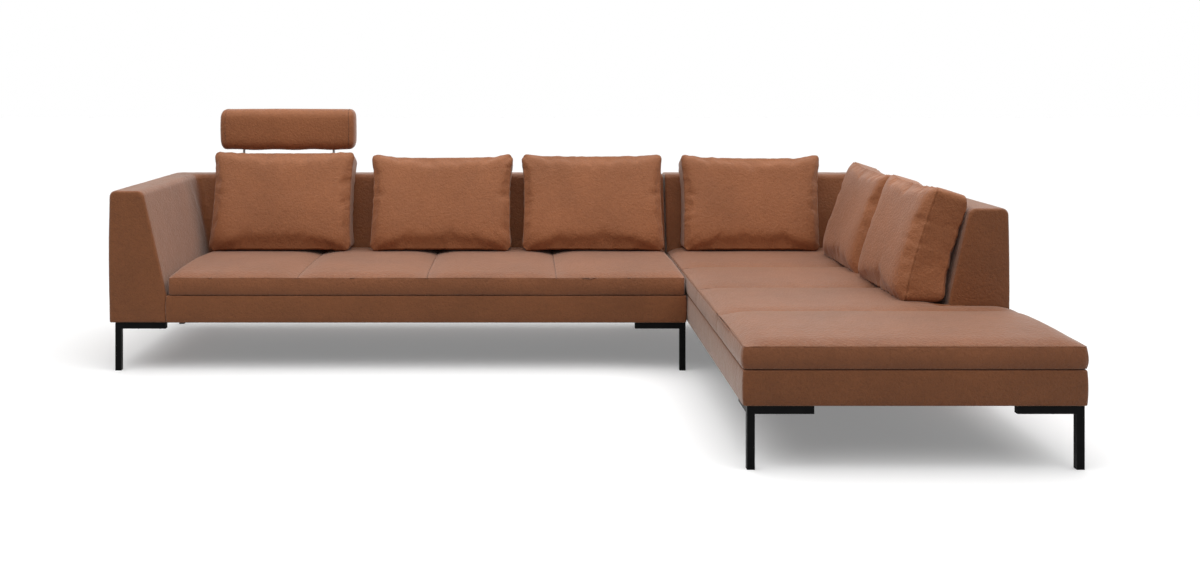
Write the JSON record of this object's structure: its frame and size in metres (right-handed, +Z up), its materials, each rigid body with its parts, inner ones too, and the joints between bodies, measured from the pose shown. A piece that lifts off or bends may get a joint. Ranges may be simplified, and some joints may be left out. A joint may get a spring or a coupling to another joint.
{
  "type": "corner sofa",
  "caption": "L-shaped corner sofa: long seat with one arm, joined to an open-ended seat with a side back, loose leaning back cushions, a headrest on rods and slim metal legs.",
  "frame": {"origin": "on the floor, in the middle of the sofa's box", "axes": "+X to the right of someone who faces the sofa, +Y towards its back, +Z up"},
  "size_m": [3.5399, 2.34, 1.0799],
  "materials": {
    "leather_body": "soft satin",
    "leather_seat": "soft satin",
    "leather_cushion": "soft satin",
    "foam": "matt",
    "timber": "planed",
    "plywood": "sanded",
    "webbing": "woven",
    "lining": "matt",
    "grip_tape": "looped",
    "black_steel": "satin powder coat",
    "black_plastic": "matt",
    "zinc_steel": "plated",
    "rubber": "matt",
    "rod_steel": "polished",
    "nylon": "matt"
  },
  "bodies": {
    "sofa": {"corner_back_frame": "timber", "corner_back_upholstery": "leather_body", "end_base_cover": "leather_body", "end_base_rails": "timber", "end_dust_cover": "lining", "end_seat_foam": "foam", "end_seat_pad": "leather_seat", "end_webbing": "webbing", "headrest_sleeves": "nylon", "left_arm_frame": "timber", "left_arm_upholstery": "leather_body", "leg_arm_front": "black_steel", "leg_arm_rear": "black_steel", "leg_corner_inner": "black_steel", "leg_corner_outer": "black_steel", "leg_end_caps": "black_plastic", "leg_end_inner": "black_steel", "leg_end_outer": "black_steel", "leg_glides": "black_plastic", "leg_joint_front": "black_steel", "leg_joint_rear": "black_steel", "main_back_frame": "timber", "main_back_upholstery": "leather_body", "main_base_cover": "leather_body", "main_base_rails": "timber", "main_dust_cover": "lining", "main_seat_foam": "foam", "main_seat_pad": "leather_seat", "main_webbing": "webbing", "module_joining_plates": "zinc_steel", "module_spacers": "rubber", "seat_grip_strips": "grip_tape", "side_back_frame": "timber", "side_back_upholstery": "leather_body"},
    "headrest_slide": {"headrest_rods": "rod_steel"},
    "headrest_head": {"headrest_pad": "leather_cushion", "headrest_board": "plywood", "headrest_foam": "foam", "headrest_clamps": "nylon"},
    "cushion_1": {"back_cushion_1": "leather_cushion", "back_cushion_1_filling": "foam"},
    "cushion_2": {"back_cushion_2": "leather_cushion", "back_cushion_2_filling": "foam"},
    "cushion_3": {"back_cushion_3": "leather_cushion", "back_cushion_3_filling": "foam"},
    "cushion_4": {"back_cushion_4": "leather_cushion", "back_cushion_4_filling": "foam"},
    "cushion_5": {"back_cushion_5": "leather_cushion", "back_cushion_5_filling": "foam"},
    "cushion_6": {"back_cushion_6": "leather_cushion", "back_cushion_6_filling": "foam"}
  },
  "joints": [
    {"name": "headrest_lift", "type": "slide", "parent": "sofa", "child": "headrest_slide", "axis": [0, 0, 1], "range_m": [0, 0.08]},
    {"name": "headrest_tilt", "type": "hinge", "parent": "headrest_slide", "child": "headrest_head", "pos_m": [-1.184, 1.085, 0.932], "axis": [1, 0, 0], "range_deg": [0, 25]},
    {"name": "cushion_1_pull", "type": "slide", "parent": "sofa", "child": "cushion_1", "axis": [0, -0.9962, 0.0872], "range_m": [0, 0.9]},
    {"name": "cushion_2_lift", "type": "slide", "parent": "sofa", "child": "cushion_2", "axis": [0, 0.2207, 0.9753], "range_m": [0, 0.5]},
    {"name": "cushion_3_lift", "type": "slide", "parent": "sofa", "child": "cushion_3", "axis": [0, 0.2207, 0.9753], "range_m": [0, 0.5]},
    {"name": "cushion_4_lift", "type": "slide", "parent": "sofa", "child": "cushion_4", "axis": [0, 0.2207, 0.9753], "range_m": [0, 0.5]},
    {"name": "cushion_5_lift", "type": "slide", "parent": "sofa", "child": "cushion_5", "axis": [0.2207, 0, 0.9753], "range_m": [0, 0.5]},
    {"name": "cushion_6_lift", "type": "slide", "parent": "sofa", "child": "cushion_6", "axis": [0.2207, 0, 0.9753], "range_m": [0, 0.5]}
  ]
}
